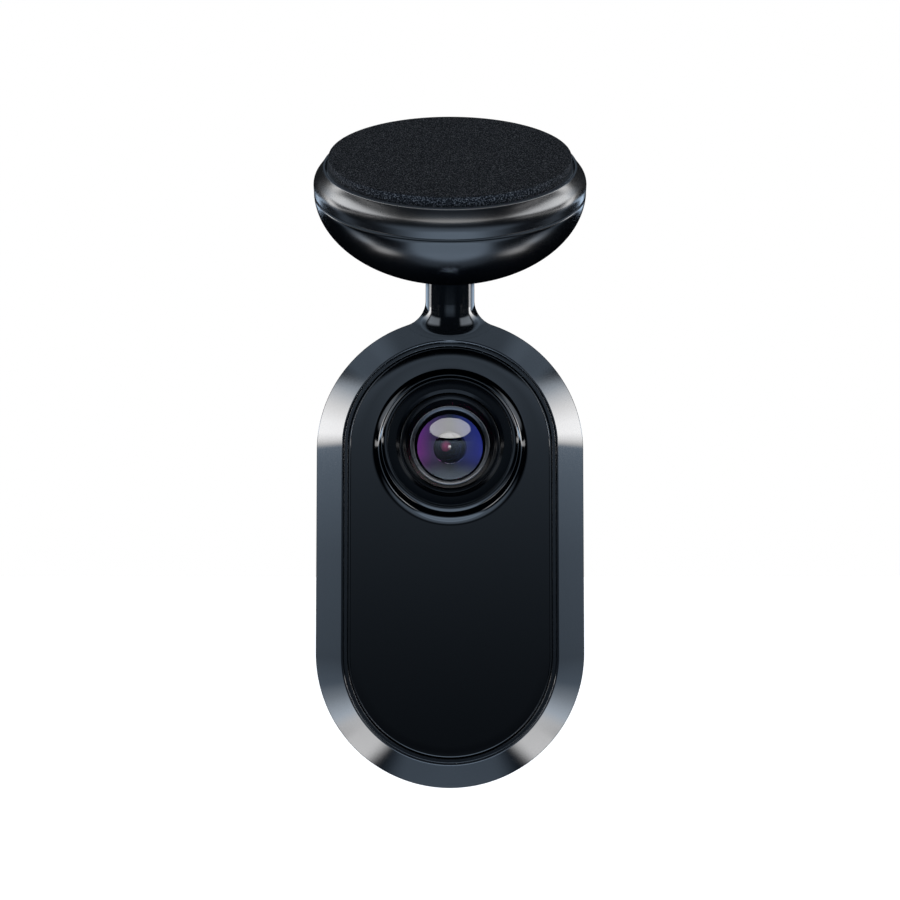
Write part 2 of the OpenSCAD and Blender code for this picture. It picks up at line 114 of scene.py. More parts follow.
BODY_R = case_high.x                                   # radius of the body's round ends
BEZEL_IN = frame_high.x + 0.1                          # radius of the bezel's inner edge
HALF = (frame_high.z - frame_low.z) / 2 - frame_high.x     # lens axis above the body's middle
PLATE_Y = case_low.y                                   # plane of the face plate
MIDDLE = Vector((0, PLATE_Y, (frame_low.z + frame_high.z) / 2))
LENS = MIDDLE + Vector((0, 0, HALF))
BODY_D = mm_box("rear_cover")[1].y - PLATE_Y              # depth of the whole body
SPLIT_D = case_high.y - PLATE_Y                        # parting line of the two case halves
RIM_H = PLATE_Y - mm_box("lens_trim_ring")[0].y        # height of the lens rim
GLASS_R = mm_box("front_lens")[1].x
STEM_BACK = BALL.y - PLATE_Y                           # stem axis behind the face plate
HANG = BALL.z - MIDDLE.z                               # ball centre above the body's middle
DISC_R = mm_box("mount_dome")[1].x
PAD_R = mm_box("foam_pad")[1].x
PAD_T = span("foam_pad", DISC)[1]
BEZEL_D = 5.2                                          # depth of the sloping bezel
STEM_R = 3.5
STEM_PAINT_UP = 20.0                                   # where the stem's paint starts, above the lens
FOOT = 5.0                                             # depth of the mount's widest ring
BOWL_H = 12.0                                          # depth of the full bowl below that ring


# ---- Meshes -----------------------------------------------------------------

def piece(name, verts, faces, material, sharp=38):
    """A piece in metres from points in millimetres."""
    mesh = bpy.data.meshes.new(name)
    mesh.from_pydata([Vector(v) * MM for v in verts], [], faces)
    bm = bmesh.new()
    bm.from_mesh(mesh)
    bmesh.ops.remove_doubles(bm, verts=bm.verts, dist=1e-8)
    bmesh.ops.recalc_face_normals(bm, faces=bm.faces)
    bm.to_mesh(mesh)
    bm.free()
    mesh.shade_smooth()
    mesh.set_sharp_from_angle(angle=math.radians(sharp))
    mesh.materials.append(material)
    obj = bpy.data.objects.new(name, mesh)
    bpy.context.scene.collection.objects.link(obj)
    return obj


def even_normals(obj):
    """Large faces keep their own normal, so that the small rounded edges carry the turn."""
    modifier = obj.modifiers.new("even_normals", "WEIGHTED_NORMAL")
    modifier.keep_sharp = True
    modifier.weight = 100
    return obj


def skin(rings, loop=False):
    """Points and faces of a skin over rings with equal numbers of points. A ring may be a single place."""
    count, points = len(rings), len(rings[0])
    verts = [tuple(p) for ring in rings for p in ring]
    faces = []
    for i in range(count if loop else count - 1):
        a, b = i * points, (i + 1) % count * points
        faces += [(a + k, a + (k + 1) % points, b + (k + 1) % points, b + k) for k in range(points)]
    return verts, faces


def joined(*parts):
    """One list of points and one of faces from several."""
    verts, faces = [], []
    for part_verts, part_faces in parts:
        start = len(verts)
        verts += part_verts
        faces += [tuple(start + k for k in face) for face in part_faces]
    return verts, faces


def rounded(corners, closed=True, steps=6):
    """Outline through corners (across, along, radius), each rounded to its radius."""
    outline = []
    for i, (x, y, radius) in enumerate(corners):
        if radius == 0 or (not closed and i in (0, len(corners) - 1)):
            outline.append((x, y))
            continue
        here = np.array((x, y))
        before = np.array(corners[i - 1][:2]) - here
        after = np.array(corners[(i + 1) % len(corners)][:2]) - here
        a, b = before / np.linalg.norm(before), after / np.linalg.norm(after)
        half_turn = math.acos(max(-1, min(1, a @ b))) / 2
        centre = here + (a + b) / np.linalg.norm(a + b) * radius / math.sin(half_turn)
        start = here + a * radius / math.tan(half_turn) - centre
        end = here + b * radius / math.tan(half_turn) - centre
        sweep = math.atan2(start[0] * end[1] - start[1] * end[0], start @ end)
        for k in range(steps + 1):
            t = sweep * k / steps
            turned_point = (start[0] * math.cos(t) - start[1] * math.sin(t),
                            start[0] * math.sin(t) + start[1] * math.cos(t))
            outline.append(tuple(centre + turned_point))
    return outline


def turned_rings(outline, origin, axis, points=SEGMENTS):
    """Rings of an outline of (radius, distance along the axis) turned about an axis."""
    across = X
    other = axis.cross(across)
    rings = []
    for r, h in outline:
        middle = origin + axis * h
        rings.append([middle + across * (r * math.cos(t)) + other * (r * math.sin(t))
                      for t in np.linspace(0, 2 * math.pi, points, endpoint=False)])
    return rings


def turned(name, outline, origin, axis, material, loop=True, points=SEGMENTS):
    return piece(name, *skin(turned_rings(outline, origin, axis, points), loop), material)


def pill(reach, depth):
    """Points round an outline with two round ends, at a distance from its middle line."""
    ends = np.linspace(0, math.pi, CAP_POINTS)
    top = [(reach * math.cos(t), HALF + reach * math.sin(t)) for t in ends]
    down = [(-reach, HALF * (1 - 2 * k / SIDE_POINTS)) for k in range(1, SIDE_POINTS)]
    half_round = top + down
    both = half_round + [(-x, -z) for x, z in half_round]
    return [MIDDLE + Vector((x, depth, z)) for x, z in both]


def round_hole(radius, depth):
    """Ring about the lens axis with as many points as pill(), each beside its partner there."""
    ends = list(np.linspace(0, math.pi, CAP_POINTS))
    rest = 2 * SIDE_POINTS + CAP_POINTS - 2
    ends += [math.pi * (1 + k / (rest + 1)) for k in range(1, rest + 1)]
    return [LENS + Vector((radius * math.cos(t), depth, radius * math.sin(t))) for t in ends]


# ---- Materials --------------------------------------------------------------

def fill_ramp(ramp, stops):
    """Sets a colour ramp to (position, colour) stops."""
    elements = ramp.color_ramp.elements
    while len(elements) < len(stops):
        elements.new(0.5)
    for element, (position, colour) in zip(elements, stops):
        element.position = position
        element.color = (*colour, 1)


class Paint:
    """A Principled material with helpers that add procedural detail in object space."""

    def __init__(self, name, colour, roughness, metallic=0.0, ior=1.5):
        self.material = bpy.data.materials.new(name)
        self.material.use_nodes = True
        self.nodes = self.material.node_tree.nodes
        self.links = self.material.node_tree.links
        self.shader = self.nodes["Principled BSDF"]
        self.colour = colour
        self.set("Base Color", (*colour, 1))
        self.set("Roughness", roughness)
        self.set("Metallic", metallic)
        self.set("IOR", ior)
        self.place = self.nodes.new("ShaderNodeTexCoord").outputs["Object"]

    def set(self, socket, value):
        self.shader.inputs[socket].default_value = value
        return self

    def node(self, kind, **values):
        made = self.nodes.new(kind)
        for key, value in values.items():
            setattr(made, key, value)
        return made

    def stretched(self, stretch):
        mapping = self.node("ShaderNodeMapping")
        mapping.inputs["Scale"].default_value = stretch
        self.links.new(self.place, mapping.inputs["Vector"])
        return mapping.outputs["Vector"]

    def grain(self, size_mm, detail=3, stretch=(1, 1, 1)):
        """Noise with grains of about that size, from 0 to 1."""
        made = self.node("ShaderNodeTexNoise")
        made.inputs["Scale"].default_value = 1 / (size_mm * MM)
        made.inputs["Detail"].default_value = detail
        self.links.new(self.stretched(stretch), made.inputs["Vector"])
        return made.outputs["Fac"]

    def spread(self, fac, low, high, start=0.3, end=0.7):
        made = self.node("ShaderNodeMapRange")
        made.inputs["From Min"].default_value = start
        made.inputs["From Max"].default_value = end
        made.inputs["To Min"].default_value = low
        made.inputs["To Max"].default_value = high
        self.links.new(fac, made.inputs["Value"])
        return made.outputs["Result"]

    def vary_roughness(self, fac, low, high):
        self.links.new(self.spread(fac, low, high), self.shader.inputs["Roughness"])
        return self

    def vary_colour(self, fac, other, start=0.35, end=0.65):
        mix = self.node("ShaderNodeMix", data_type="RGBA")
        mix.inputs["A"].default_value = (*self.colour, 1)
        mix.inputs["B"].default_value = (*other, 1)
        self.links.new(self.spread(fac, 0, 1, start, end), mix.inputs["Factor"])
        self.links.new(mix.outputs["Result"], self.shader.inputs["Base Color"])
        return self

    def bump(self, fac, height_mm, strength=1.0):
        made = self.node("ShaderNodeBump")
        made.inputs["Distance"].default_value = height_mm * MM
        made.inputs["Strength"].default_value = strength
        self.links.new(fac, made.inputs["Height"])
        if self.shader.inputs["Normal"].links:
            self.links.new(self.shader.inputs["Normal"].links[0].from_socket, made.inputs["Normal"])
        self.links.new(made.outputs["Normal"], self.shader.inputs["Normal"])
        return self


def gloss_black(name, colour, low=0.05, high=0.09, ior=1.5):
    """Polished moulded plastic, with faint handling marks."""
    paint = Paint(name, colour, low, ior=ior)
    paint.vary_roughness(paint.grain(9, 5, (1, 1, 1.6)), low, high)
    paint.bump(paint.grain(2.5, 2), 0.0006)
    return paint.material


def satin_metal_paint(name="gunmetal_paint", specular=0.5):
    """Gunmetal paint with fine flakes, brushed along the body."""
    paint = Paint(name, (0.0045, 0.0056, 0.0070), 0.08, ior=1.62)
    paint.set("Specular IOR Level", specular)
    brushed = paint.grain(0.10, 2, (1, 1, 0.04))
    paint.vary_roughness(brushed, 0.06, 0.11)
    paint.vary_colour(paint.grain(0.05, 1), (0.0075, 0.0090, 0.0108))
    paint.bump(brushed, 0.0008)
    return paint.material


def foam_material():
    """Closed-cell foam: dark, dull, with fine pale specks painted into its colour as highlights where cells
    catch the light.
    """
    paint = Paint("black_foam", (0.0040, 0.0044, 0.0056), 0.95)
    cells = paint.grain(0.17, 3)
    # Painted highlights: pale specks in the foam's colour where the cells would catch the light.
    paint.vary_colour(cells, (0.145, 0.146, 0.152), 0.49, 0.72)
    paint.bump(cells, 0.06)
    paint.set("Specular IOR Level", 0.12)
    return paint.material


def moulded(name, colour, roughness=0.5, grain_mm=0.12, height_mm=0.004, specular=0.5):
    """Spark-textured moulded plastic."""
    paint = Paint(name, colour, roughness)
    paint.set("Specular IOR Level", specular)
    paint.vary_roughness(paint.grain(grain_mm, 2), roughness - 0.08, roughness + 0.08)
    paint.vary_colour(paint.grain(6, 4), tuple(c * 1.25 for c in colour))
    paint.bump(paint.grain(grain_mm, 2), height_mm)
    return paint.material


def metal(name, colour, roughness, stretch=(1, 1, 1), grain_mm=0.3):
    paint = Paint(name, colour, roughness, metallic=1.0)
    brushed = paint.grain(grain_mm, 4, stretch)
    paint.vary_roughness(brushed, roughness * 0.8, roughness * 1.25)
    paint.vary_colour(paint.grain(1.5, 4), tuple(c * 0.85 for c in colour))
    paint.bump(brushed, 0.001)
    return paint.material


FOAM = foam_material()
COLLAR_GLOSS = gloss_black("mount_collar_black", (0.0009, 0.0012, 0.0017), 0.22, 0.28)
DOME_GLOSS = gloss_black("mount_dome_black", (0.0009, 0.0012, 0.0017), 0.18, 0.24)
PLATE_GLOSS = gloss_black("plate_gloss_black", (0.0004, 0.0006, 0.0010), 0.05, 0.08)
CASE_PAINT = satin_metal_paint()
STEM_PAINT = satin_metal_paint("stem_paint", 0.16)
FRAME_SATIN = gloss_black("frame_satin", (0.003, 0.004, 0.0052), 0.16, 0.22)
TRIM_BLACK = moulded("trim_matt_black", (0.0009, 0.0014, 0.0022), 0.16, 0.08, 0.0002, specular=0.10)
BARREL_BLACK = moulded("barrel_black", (0.0006, 0.0009, 0.0015), 0.20, 0.10, 0.0002, specular=0.10)
CLAMP_METAL = metal("clamp_ring_satin", (0.080, 0.083, 0.090), 0.30, (1, 6, 1))
BACK_BLACK = moulded("back_textured_black", (0.014, 0.015, 0.017), 0.48)
BUTTON_GREY = moulded("button_soft_grey", (0.022, 0.025, 0.029), 0.42, 0.06, 0.001)
SEAL_RUBBER = moulded("seal_rubber", (0.006, 0.006, 0.007), 0.7)
DULL_PLASTIC = moulded("dull_black_plastic", (0.015, 0.015, 0.017), 0.6)
STEEL = metal("brushed_steel_fine", (0.52, 0.53, 0.55), 0.28, (1, 1, 6))
TINNED = metal("tinned_sheet", (0.62, 0.63, 0.64), 0.34)
ALLOY = metal("mill_alloy", (0.66, 0.67, 0.69), 0.4, (8, 1, 1))
GOLD = metal("gold_plate", (0.72, 0.52, 0.24), 0.3)
BOARD = moulded("solder_mask_green", (0.010, 0.060, 0.028), 0.32, 0.5, 0.004)
AMBER = moulded("polyimide_amber", (0.34, 0.13, 0.02), 0.3, 0.4, 0.001)
PAD_BLUE = moulded("thermal_pad_blue", (0.22, 0.30, 0.40), 0.7)
CERAMIC = moulded("antenna_ceramic", (0.50, 0.38, 0.22), 0.6)
PIPE_WHITE = moulded("light_pipe_frosted", (0.55, 0.57, 0.58), 0.25, 0.3, 0.001)
CELL = moulded("cell_wrap_blue", (0.06, 0.13, 0.22), 0.28, 1.2, 0.006)


# ---- Windscreen mount -------------------------------------------------------

def adhesive_foam():
    """Foam disc with an uneven, cell-pitted skin and a cleanly cut edge."""
    edge, pit = 0.10, 0.05
    face = [(PAD_R * (k / 110) ** 0.8, pit) for k in range(110)]
    outline = [(r, h) for r, h in face if r < PAD_R - edge - 0.1]
    outline += rounded([(PAD_R - edge - 0.1, pit, 0), (PAD_R, pit, edge), (PAD_R, PAD_T, 0)], False, 5)[1:-1]
    outline += [(PAD_R, PAD_T * k / 12) for k in range(2, 12)]
    outline += [(PAD_R, PAD_T - 0.02), (0, PAD_T - 0.02)]
    rings = turned_rings(outline, Vector((0, 0, 0)), DISC, 720)
    pitted = []
    for (r, h), ring in zip(outline, rings):
        moved = []
        for p in ring:
            cell = noise.noise(p * 2.6) * 0.5 + noise.noise(p * 6.1) * 0.5
            if r < PAD_R - edge - 0.12 and h < PAD_T / 2:
                p = p + DISC * (0.06 * cell)
            elif r > PAD_R - 0.01 and 0.2 < h < PAD_T - 0.1:
                p = p - (p - DISC * p.dot(DISC)).normalized() * (0.035 + 0.05 * cell)
            moved.append(p)
        pitted.append(moved)
    obj = piece("adhesive_foam", *skin(pitted), FOAM, 180)
    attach(obj, "mount")
    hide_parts("foam_pad")


def collar_ring():
    """Upper half of the mount's case."""
    top, seat, bore = 1.45, 3.25, DISC_R - 1.85
    flank = rounded([(DISC_R - 1.42, top + 0.02, 0), (DISC_R - 0.02, top + 1.74, 2.2),
                     (DISC_R - 0.02, FOOT - 0.35, 0)], False, 18)
    outer = rounded([(flank[-1][0], flank[-1][1], 0), (DISC_R - 0.02, FOOT - 0.10, 0.22),
                     (DISC_R - 2.4, FOOT - 0.10, 0), (15.5, FOOT - 0.10, 0)], False, 8)
    lip = rounded([(bore, seat, 0), (bore, top - 0.12, 0.12), (flank[0][0] - 0.02, top - 0.12, 0.10),
                   (flank[0][0], flank[0][1], 0)], False, 6)
    outline = [(15.5, seat)] + lip[:-1] + flank + outer[1:]
    obj = even_normals(turned("collar_ring", outline, Vector((0, 0, 0)), DISC, COLLAR_GLOSS, True, 360))
    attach(obj, "mount")
    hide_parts("mount_collar")


def dome_bowl():
    """Lower half of the mount's case, open where the stem comes out."""
    opening = math.radians(63.5)
    ball = DISC.dot(BALL)

    def bowl(inset, t):
        return (DISC_R - inset) * math.cos(t), FOOT + (BOWL_H - inset) * math.sin(t)

    def lip_angle(inset):
        low, high = 0.2, 1.5
        for _ in range(40):
            t = (low + high) / 2
            r, h = bowl(inset, t)
            low, high = (t, high) if r > (h - ball) * math.tan(opening) or h < ball else (low, t)
        return t
    outer_end, inner_end = lip_angle(0), lip_angle(1.5)
    outer = [bowl(0, t) for t in np.linspace(0.02, outer_end - 0.03, 40)]
    lip_out, lip_in = bowl(0, outer_end), bowl(1.5, inner_end)
    inner = [bowl(1.5, t) for t in np.linspace(inner_end - 0.03, 0.02, 24)]
    lip = rounded([(*outer[-1], 0), (*lip_out, 0.22), (*lip_in, 0.15), (*inner[0], 0)], False, 8)[1:-1]
    rim = rounded([(*inner[-1], 0), (inner[-1][0], FOOT + 0.05, 0.1), (DISC_R - 0.06, FOOT + 0.05, 0.10),
                   (*outer[0], 0)], False, 6)[1:-1]
    outline = outer + lip + inner + rim
    obj = even_normals(turned("dome_bowl", outline, Vector((0, 0, 0)), DISC, DOME_GLOSS, True, 360))
    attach(obj, "mount")
    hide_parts("mount_dome")


# ---- Case halves ------------------------------------------------------------

def skin_height(r, angle):
    """Height of the case's outer surface above the body's middle, at distance r from the stem's axis."""
    depth = STEM_BACK - r * np.cos(angle)
    slope = (BODY_R - BEZEL_IN) / BEZEL_D
    soft = 0.05
    reach = -soft * np.logaddexp(-BODY_R / soft, -(BEZEL_IN + 0.05 + depth * slope) / soft)
    return HALF + np.sqrt(reach ** 2 - (r * np.sin(angle)) ** 2)


def flare_column(angle, steps=28):
    """Stem, rolling fillet and the tail that sinks into the case, as (radius, height) from the top down."""
    fillet = 3.85 + 0.55 * math.cos(min(abs(angle), math.pi / 2)) ** 2
    r = np.linspace(STEM_R, STEM_R + fillet + 0.6, 500)
    surface = skin_height(r, angle)
    centre_r = STEM_R + fillet
    low, high = HALF + 10, HALF + 40
    for _ in range(50):
        centre_z = (low + high) / 2
        nearest = np.hypot(r - centre_r, surface - centre_z).min()
        low, high = (centre_z, high) if nearest < fillet else (low, centre_z)
    touch = np.hypot(r - centre_r, surface - centre_z).argmin()
    turn = math.atan2(centre_z - surface[touch], centre_r - r[touch])
    arc = [(centre_r - fillet * math.cos(a), centre_z - fillet * math.sin(a))
           for a in np.linspace(0, turn, steps)]
    last = arc[-1][0]
    tail = [(last + out, float(skin_height(np.array(last + out), angle)) - sink)
            for out, sink in ((0.12, 0.004), (0.3, 0.03))]
    return arc, tail


def neck_rings():
    """Rings of the stem and its flare about the stem's axis."""
    axis = MIDDLE + Vector((0, STEM_BACK, 0))
    top, seat, bore = HANG - 7.6, HALF + 14.4, 2.05
    angles = np.linspace(0, 2 * math.pi, 240, endpoint=False)
    columns = []
    for angle in angles:
        arc, tail = flare_column(min(angle, 2 * math.pi - angle))
        head = rounded([(bore, seat, 0), (bore, top, 0.1), (STEM_R - 0.8, top, 0.12),
                        (STEM_R, top - 1.2, 0.8), (STEM_R, arc[0][1], 0)], False, 6)
        stem = [(STEM_R, top - 2 + (arc[0][1] - top + 2) * k / 6) for k in range(1, 6)]
        column = head[:-1] + stem + arc + tail + [(tail[-1][0] * 0.9, seat)]
        columns.append([axis + Vector((r * math.sin(angle), -r * math.cos(angle), z)) for r, z in column])
    return [list(ring) for ring in zip(*columns)]


def front_case():
    inner, wall_r = BEZEL_IN, BODY_R - 1.5
    outline = rounded([
        (inner, 0.0, 0.16), (BODY_R, BEZEL_D, 0.45), (BODY_R, SPLIT_D, 0.12), (wall_r, SPLIT_D, 0.1),
        (wall_r, BEZEL_D + 0.7, 0.3), (inner + 0.7, 3.3, 0.3), (inner - 1.8, 3.3, 0.1),
        (inner - 1.8, 1.8, 0.1), (inner, 1.8, 0.05)
    ])
    shell = skin([pill(*p) for p in outline], True)
    neck = skin(neck_rings(), True)
    obj = even_normals(piece("front_case", *joined(shell, neck), CASE_PAINT))
    obj.data.materials.append(STEM_PAINT)
    for face in obj.data.polygons:
        if face.center.z / MM > LENS.z + STEM_PAINT_UP:
            face.material_index = 1
    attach(obj, "camera")
    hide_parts("front_housing")


def slot_ring(height, length, grow):
    """Points round a slot with round ends, its length along the first axis."""
    r = height / 2 + grow
    reach = (length - height) / 2
    ends = np.linspace(-math.pi / 2, math.pi / 2, 24)
    right = [(reach + r * math.cos(t), r * math.sin(t)) for t in ends]
    return right + [(-x, -y) for x, y in right]


def side_slot(side, depth, z, height, length):
    """Cutter for a slot through a side of the body, flared at its mouth."""
    rings = []
    for out, grow in ((-4, 0), (-0.22, 0), (-0.06, 0.06), (0.0, 0.22), (0.4, 0.5)):
        rings.append([MIDDLE + Vector((side * (BODY_R + out), depth + y, z + x))
                      for x, y in slot_ring(height, length, grow)])
    return capped(rings)


def capped(rings):
    verts, faces = skin(rings)
    points = len(rings[0])
    last = len(verts) - points
    return verts, faces + [tuple(range(points)), tuple(range(last, last + points))]


def back_hole(x, z, radius, depth, mouth=0.12, points=40):
    """Cutter for a round hole in the back, flared at its mouth."""
    profile = [(radius, -depth), (radius, -mouth), (radius + mouth * 0.3, -mouth * 0.3),
               (radius + mouth, 0.0), (radius + mouth * 2, 0.4)]
    turns = np.linspace(0, 2 * math.pi, points, endpoint=False)
    return capped([[MIDDLE + Vector((x + r * math.cos(t), BODY_D + h, z + r * math.sin(t))) for t in turns]
                   for r, h in profile])


def back_slit(x, low, high, half_width):
    """Cutter for an upright vent slit with round ends."""
    middle, length = (low + high) / 2, high - low
    return capped([[MIDDLE + Vector((x + b, BODY_D + h, middle + a))
                    for a, b in slot_ring(half_width * 2, length, grow)]
                   for h, grow in ((-4, 0), (-0.12, 0), (0.0, 0.10), (0.4, 0.3))])


def back_cutters():
    screw_x, screw_z, pipe_z = 8.7, HALF + 8.7, 2.0
    cutters = [back_hole(x * screw_x, z * screw_z, 2.0, 2.4, 0.2) for x in (-1, 1) for z in (-1, 1)]
    cutters.append(back_hole(0, -HALF, button_radius() + 0.15, 5, 0.35, 96))
    cutters.append(back_hole(0, pipe_z, 0.95, 4, 0.1))
    cutters.append(back_hole(0, pipe_z - 5, 0.45, 4, 0.1, 24))
    for i in range(-4, 5):
        for j in range(-2, 3):
            if i * i + 2 * j * j < 19:
                cutters.append(back_hole(i * 1.7 + j % 2 * 0.85, HALF + j * 1.7, 0.45, 4, 0.1, 20))
    for i in range(-3, 4):
        low = -HALF - 13.5
        cutters.append(back_slit(i * 2.2, low, low + 5 - abs(i) * 0.8, 0.45))
    cutters.append(side_slot(1, 19.9, 1.5, 3.6, 9.5))
    cutters.append(side_slot(-1, 19.6, 0, 1.5, 12.2))
    cutters.append(side_slot(-1, 19.9, 12.5, 2.7, 8.3))
    return joined(*cutters)


def cut(obj, cutters):
    """Takes the cutters out of a piece."""
    tool = piece("cutters", *cutters, BACK_BLACK)
    modifier = obj.modifiers.new("openings", "BOOLEAN")
    modifier.operation = "DIFFERENCE"
    modifier.solver = "EXACT"
    modifier.object = tool
    bpy.context.view_layer.update()
    made = bpy.data.meshes.new_from_object(obj.evaluated_get(bpy.context.evaluated_depsgraph_get()))
    obj.modifiers.clear()
    obj.data = made
    made.materials.clear()
    made.materials.append(BACK_BLACK)
    made.shade_smooth()
    made.set_sharp_from_angle(angle=math.radians(38))
    bpy.data.objects.remove(tool)


def back_case():
    """Rear half of the case, with its openings."""
    wall, round_r, seam = 1.6, 3.5, SPLIT_D + 0.2
    in_r = BODY_R - wall
    inside = rounded([(BODY_R - round_r - 0.3, BODY_D - wall, 0), (in_r, BODY_D - wall, round_r - wall),
                      (in_r, seam, 0)], False, 8)
    outside = rounded([(in_r, seam, 0), (BODY_R, seam, 0.15), (BODY_R, BODY_D, round_r),
                       (BODY_R - round_r - 0.3, BODY_D, 0)], False, 20)
    obj = piece("back_case", *capped([pill(*p) for p in inside + outside[1:]]), BACK_BLACK)
    cut(obj, back_cutters())
    even_normals(obj)
    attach(obj, "camera")
    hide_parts("rear_cover")


def button_radius():
    return mm_box("rear_button")[1].x - 0.8


def back_button():
    """Round record button: flanged behind the case, dished in front."""
    low, high = mm_box("rear_button")
    r = button_radius()
    stem, face = low.y - MIDDLE.y, high.y - MIDDLE.y
    skirt = BODY_D - 3.6
    outline = rounded([(1.2, stem, 0.1), (1.2, skirt, 0), (r + 0.8, skirt, 0.1), (r + 0.8, skirt + 0.5, 0.1),
                       (r, skirt + 0.5, 0.05), (r, face, 0.42), (r - 0.75, face, 0.3),
                       (r - 1.15, face - 0.16, 0.3)], False, 8)
    dish = [(t, face - 0.25 + 0.09 * (t / (r - 1.15)) ** 2) for t in np.linspace(r - 1.3, 0, 16)]
    origin = MIDDLE + Vector((0, 0, -HALF))
    obj = turned("back_button", [(0, stem)] + outline + dish, origin, Y, BUTTON_GREY, False, 128)
    even_normals(obj)
    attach(obj, "rear_button")
    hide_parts("rear_button")


def side_button():
    """Long power button in its slot, with the flange that keeps it in."""
    low, high = mm_box("power_button")
    middle = (low + high) / 2
    height, length = 2.4, 8.0
    profile = [(0.0, -0.6), (0.05, -0.3), (0.2, -0.1), (0.45, 0.0), (2.5, 0.0)]
    rings = [[Vector((low.x + out, middle.y + y, middle.z + x)) for x, y in slot_ring(height, length, grow)]
             for out, grow in profile]
    flange = [[Vector((low.x + out, middle.y + y, middle.z + z)) for z, y in
               ((-4.5, -1.3), (4.5, -1.3), (4.5, 1.3), (-4.5, 1.3))] for out in (2.5, high.x - low.x)]
    obj = even_normals(piece("side_button", *joined(capped(rings), capped(flange)), BUTTON_GREY))
    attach(obj, "power_button")
    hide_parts("power_button")


# ---- Face and lens ----------------------------------------------------------

def front_plate():
    """Gloss plate with the lens rim moulded on it."""
    crest_r, crest, cove, foot_r = 8.6, 0.65, 1.35, 10.9
    back, bore = 1.6, 7.0
    edge_r = BEZEL_IN - 0.9
    wall_r = foot_r - cove
    rim = [(bore, back), (bore, 0.4 - RIM_H + 0.9), (8.40, 0.4 - RIM_H + 0.9), (8.42, 0.16 - RIM_H)]
    rim += [(crest_r - 0.02 + crest * math.cos(a), crest - RIM_H - 0.01 + crest * math.sin(a))
            for a in np.radians(np.linspace(-106, -4, 16))]
    rim += [(foot_r + cove * math.cos(a), -cove + cove * math.sin(a))
            for a in np.radians(np.linspace(176, 90, 18))]
    plate = rounded([(edge_r - 1.5, 0, 0), (edge_r, 0, 0.16), (edge_r, back, 0.1),
                     (edge_r - 1.5, back, 0)], False, 8)
    rings = [round_hole(r, d) for r, d in rim] + [pill(*p) for p in plate]
    obj = even_normals(piece("front_plate", *skin(rings, True), PLATE_GLOSS))
    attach(obj, "camera")
    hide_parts("face_plate")


def plate_frame():
    outer_r, inner_r = BEZEL_IN - 0.1, BEZEL_IN - 0.62
    outline = rounded([(outer_r, 0.15, 0.08), (outer_r, 1.75, 0.1),
                       (inner_r, 1.75, 0.1), (inner_r, 0.15, 0.1)])
    obj = even_normals(piece("plate_frame", *skin([pill(*p) for p in outline], True), FRAME_SATIN))
    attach(obj, "camera")
    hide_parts("face_frame")


def lens_piece(name, outline, material, node, loop=True):
    obj = even_normals(turned(name, outline, LENS, Y, material, loop, 256))
    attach(obj, "camera")
    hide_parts(node)


def lens_parts():
    front = 0.5 - RIM_H
    lens_piece("trim_ring", rounded([
        (7.16, -RIM_H + 0.02, 0.06), (8.30, -RIM_H + 0.02, 0.08), (8.33, 1.2 - RIM_H, 0.05),
        (6.76, 1.2 - RIM_H, 0.05), (6.76, 0.36 - RIM_H, 0.06)
    ], True, 5), TRIM_BLACK, "lens_trim_ring")
    lens_piece("barrel_head", rounded([
        (6.58, front, 0.12), (6.58, -0.4, 0.05), (6.0, 0.2, 0.05), (6.0, 9.0, 0.1), (3.6, 9.0, 0.1),
        (3.6, 5.05, 0.05), (4.55, 5.05, 0.05), (4.55, 1.0, 0.05), (4.87, -1.6, 0.04), (5.40, -1.6, 0.04),
        (5.42, -3.3, 0.25), (5.95, front + 0.45, 0.1), (6.22, front + 0.3, 0.05), (6.25, front, 0.08)
    ], True, 5), BARREL_BLACK, "lens_barrel")
    lens_piece("clamp_ring", rounded([
        (5.38, -1.65, 0.03), (5.38, -2.96, 0.10), (4.86, -2.74, 0.10), (4.86, -1.65, 0.03)
    ], True, 5), CLAMP_METAL, "lens_retainer")


def front_glass():
    """Front element: a polished face, a coated back and a flat rim round it painted with a purple-and-blue
    reflection.
    """
    apex, edge, ball_r = -0.95, 2.4, 14.0
    face = [(ball_r * math.sin(a), apex + ball_r * (1 - math.cos(a)))
            for a in np.linspace(0, math.asin(GLASS_R / ball_r), 40)]
    hollow = [(2.13 * (1 - t), edge - 0.02 * math.sin(t * math.pi / 2)) for t in np.linspace(0, 1, 12)]
    outline = face + [(GLASS_R, edge)] + hollow
    obj = turned("front_glass", outline, LENS, Y, FRONT_GLASS, False, 256)
    obj.data.materials.append(LAND)
    obj.data.materials.append(COATED)
    for face in obj.data.polygons:
        middle = face.center / MM - LENS
        out = math.hypot(middle.x, middle.z)
        if abs(middle.y - edge) < 0.01 and out > hollow[0][0]:
            face.material_index = 1
        elif out < hollow[0][0] and middle.y > hollow[-1][1] - 0.01:
            face.material_index = 2
    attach(obj, "camera")
    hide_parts("front_lens")


def stop_ring():
    """Aperture stop with a stepped, knife-edged opening."""
    front, back, hole = 3.62, 3.82, 2.12
    outline = [(GLASS_R, front), (GLASS_R, back), (hole, back), (hole, back - 0.04),
               (hole + 0.06, front + 0.08), (hole + 0.30, front + 0.06), (hole + 0.34, front)]
    lens_piece("stop_ring", outline, BARREL_BLACK, "aperture_stop")


def inner_glass():
    """Second element, seen through the stop."""
    ball_r, apex, edge = 12.0, 3.84, 5.02
    face = [(ball_r * math.sin(a), apex + ball_r * (1 - math.cos(a)))
            for a in np.linspace(0, math.asin(4.4 / ball_r), 30)]
    outline = face + [(face[-1][0], edge), (0, edge)]
    lens_piece("inner_glass", outline, deep_material(), "middle_lens", False)


